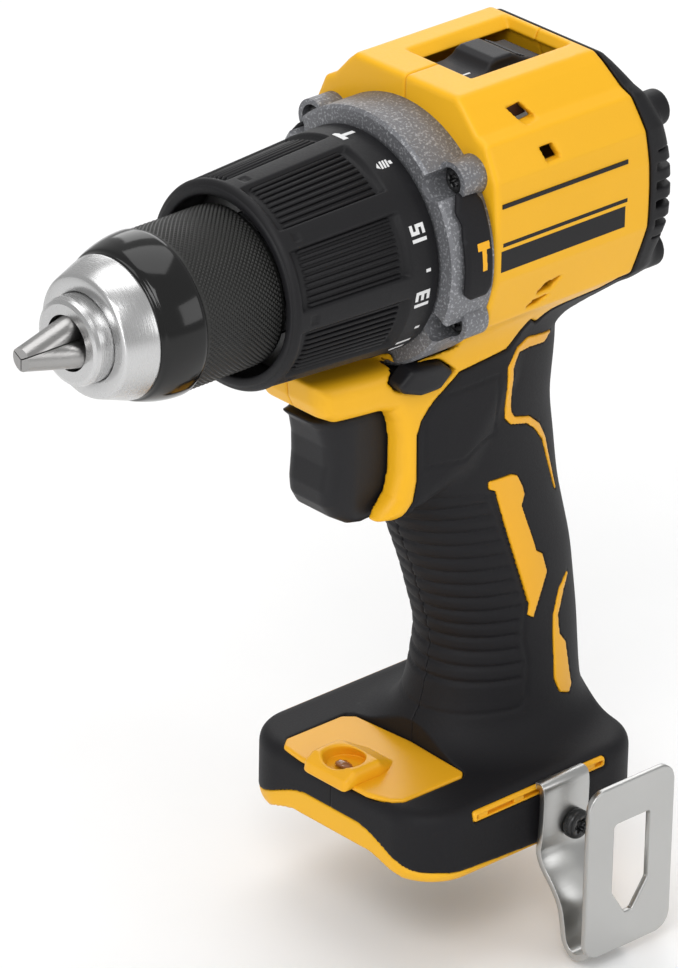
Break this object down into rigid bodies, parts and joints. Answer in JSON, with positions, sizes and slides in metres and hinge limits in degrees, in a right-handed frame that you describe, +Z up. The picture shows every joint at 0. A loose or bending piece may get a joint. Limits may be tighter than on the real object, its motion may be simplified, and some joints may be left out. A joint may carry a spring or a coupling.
{
  "type": "cordless drill",
  "caption": "Pistol-grip cordless hammer drill without battery: keyless three-jaw chuck, torque collar, two-speed gearbox, trigger, rubber-covered grip and side belt hook.",
  "frame": {"origin": "on the spindle axis at the front face of the chuck's mouth", "axes": "+X rearwards along the spindle, +Z up, the drill's left side is -Y"},
  "size_m": [0.1869, 0.0931, 0.2287],
  "materials": {
    "band_black": "gloss black",
    "bearing": "polished",
    "block_black": "moulded",
    "board_green": "solder mask",
    "brass": "turned",
    "bumper": "matte",
    "button_black": "satin",
    "case_grey": "die cast, speckled grey",
    "collar_black": "fine texture",
    "copper": "enamelled wire",
    "cover_black": "fine texture",
    "fan_plastic": "moulded",
    "gear_steel": "sintered steel",
    "hook_steel": "satin",
    "housing_yellow": "fine moulded texture",
    "iron": "laminated",
    "jaw_steel": "ground tool steel",
    "lamp_clear": "clear lens",
    "magnet": "epoxy coated",
    "overmould": "matte, ribbed",
    "screw_black": "black oxide",
    "sleeve_black": "black, knurled",
    "steel": "brushed, machined rings",
    "zinc": "bright zinc plated"
  },
  "bodies": {
    "drill": {"belt_hook": "hook_steel", "belt_hook_screw": "screw_black", "clutch_pins": "gear_steel", "clutch_plate": "gear_steel", "clutch_spring": "gear_steel", "controller_board": "board_green", "gear_case": "case_grey", "gear_case_screws": "screw_black", "grip_overmould_left": "overmould", "grip_overmould_right": "overmould", "hammer_ratchet_fixed": "gear_steel", "housing_left": "housing_yellow", "housing_right": "housing_yellow", "housing_screws": "screw_black", "motor_bearing_front": "bearing", "motor_bearing_rear": "bearing", "motor_coils": "copper", "motor_plate": "case_grey", "motor_stator": "iron", "rear_cover": "cover_black", "rear_cover_screws": "screw_black", "ring_gear": "gear_steel", "side_bumper_left": "bumper", "side_bumper_right": "bumper", "spindle_bearing": "bearing", "terminal_blades": "brass", "terminal_block": "block_black", "thread_inserts": "brass", "trigger_switch": "block_black", "work_lamp": "lamp_clear"},
    "chuck": {"chuck_body": "steel", "chuck_screw": "screw_black", "spindle": "gear_steel", "carrier_2": "gear_steel", "hammer_ratchet_moving": "gear_steel"},
    "sleeve": {"sleeve_front_ring": "steel", "sleeve_band": "band_black", "chuck_sleeve": "sleeve_black", "jaw_nut": "gear_steel"},
    "jaw_1": {"jaw_1": "jaw_steel"},
    "jaw_2": {"jaw_2": "jaw_steel"},
    "jaw_3": {"jaw_3": "jaw_steel"},
    "collar": {"clutch_collar": "collar_black"},
    "clutch_nut": {"clutch_nut": "gear_steel"},
    "selector": {"speed_selector": "button_black", "shift_fork": "zinc", "shift_ring": "gear_steel"},
    "trigger": {"trigger": "button_black"},
    "direction_button": {"direction_button": "button_black"},
    "carrier_1": {"carrier_1": "gear_steel"},
    "rotor": {"rotor_core": "magnet", "motor_shaft": "gear_steel", "motor_fan": "fan_plastic", "motor_pinion": "gear_steel"},
    "planet_1_a": {"planet_1_a": "gear_steel"},
    "planet_1_b": {"planet_1_b": "gear_steel"},
    "planet_1_c": {"planet_1_c": "gear_steel"},
    "planet_2_a": {"planet_2_a": "gear_steel"},
    "planet_2_b": {"planet_2_b": "gear_steel"},
    "planet_2_c": {"planet_2_c": "gear_steel"}
  },
  "joints": [
    {"name": "chuck_spin", "type": "hinge", "parent": "drill", "child": "chuck", "pos_m": [0, 0, 0], "axis": [-1, 0, 0], "continuous": true},
    {"name": "sleeve_turn", "type": "hinge", "parent": "chuck", "child": "sleeve", "pos_m": [0.02, 0, 0], "axis": [-1, 0, 0], "range_deg": [0, 2880]},
    {"name": "collar_turn", "type": "hinge", "parent": "drill", "child": "collar", "pos_m": [0.07, 0, 0], "axis": [-1, 0, 0], "range_deg": [0, 320]},
    {"name": "clutch_nut_feed", "type": "slide", "parent": "collar", "child": "clutch_nut", "axis": [-1, 0, 0], "range_m": [0, 0.0032]},
    {"name": "speed_shift", "type": "slide", "parent": "drill", "child": "selector", "axis": [1, 0, 0], "range_m": [0, 0.005]},
    {"name": "trigger_pull", "type": "slide", "parent": "drill", "child": "trigger", "axis": [1, 0, 0], "range_m": [0, 0.007], "stiffness_N_per_m": 500, "springref_m": -0.005},
    {"name": "direction_slide", "type": "slide", "parent": "drill", "child": "direction_button", "axis": [0, 1, 0], "range_m": [-0.0022, 0.0022]},
    {"name": "carrier_1_spin", "type": "hinge", "parent": "drill", "child": "carrier_1", "pos_m": [0.11, 0, 0], "axis": [-1, 0, 0], "continuous": true},
    {"name": "rotor_spin", "type": "hinge", "parent": "drill", "child": "rotor", "pos_m": [0.14, 0, 0], "axis": [-1, 0, 0], "continuous": true},
    {"name": "jaw_1_slide", "type": "slide", "parent": "chuck", "child": "jaw_1", "axis": [0.9593, 0, 0.2823], "range_m": [0, 0.02]},
    {"name": "planet_2_a_spin", "type": "hinge", "parent": "chuck", "child": "planet_2_a", "pos_m": [0.1, 0, 0.012], "axis": [-1, 0, 0], "continuous": true},
    {"name": "planet_1_a_spin", "type": "hinge", "parent": "carrier_1", "child": "planet_1_a", "pos_m": [0.118, 0, 0.012], "axis": [-1, 0, 0], "continuous": true},
    {"name": "jaw_2_slide", "type": "slide", "parent": "chuck", "child": "jaw_2", "axis": [0.9593, -0.2445, -0.1412], "range_m": [0, 0.02]},
    {"name": "planet_2_b_spin", "type": "hinge", "parent": "chuck", "child": "planet_2_b", "pos_m": [0.1, -0.01039, -0.006], "axis": [-1, 0, 0], "continuous": true},
    {"name": "planet_1_b_spin", "type": "hinge", "parent": "carrier_1", "child": "planet_1_b", "pos_m": [0.118, -0.01039, -0.006], "axis": [-1, 0, 0], "continuous": true},
    {"name": "jaw_3_slide", "type": "slide", "parent": "chuck", "child": "jaw_3", "axis": [0.9593, 0.2445, -0.1412], "range_m": [0, 0.02]},
    {"name": "planet_2_c_spin", "type": "hinge", "parent": "chuck", "child": "planet_2_c", "pos_m": [0.1, 0.01039, -0.006], "axis": [-1, 0, 0], "continuous": true},
    {"name": "planet_1_c_spin", "type": "hinge", "parent": "carrier_1", "child": "planet_1_c", "pos_m": [0.118, 0.01039, -0.006], "axis": [-1, 0, 0], "continuous": true}
  ],
  "couplings": [
    {"joint": "clutch_nut_feed", "follows": "collar_turn", "m_per_rad": 0.00057296},
    {"joint": "carrier_1_spin", "follows": "chuck_spin", "ratio": 4},
    {"joint": "rotor_spin", "follows": "chuck_spin", "ratio": 16},
    {"joint": "jaw_1_slide", "follows": "sleeve_turn", "m_per_rad": 0.00039788},
    {"joint": "planet_2_a_spin", "follows": "chuck_spin", "ratio": -3},
    {"joint": "planet_1_a_spin", "follows": "chuck_spin", "ratio": -12},
    {"joint": "jaw_2_slide", "follows": "sleeve_turn", "m_per_rad": 0.00039788},
    {"joint": "planet_2_b_spin", "follows": "chuck_spin", "ratio": -3},
    {"joint": "planet_1_b_spin", "follows": "chuck_spin", "ratio": -12},
    {"joint": "jaw_3_slide", "follows": "sleeve_turn", "m_per_rad": 0.00039788},
    {"joint": "planet_2_c_spin", "follows": "chuck_spin", "ratio": -3},
    {"joint": "planet_1_c_spin", "follows": "chuck_spin", "ratio": -12}
  ]
}
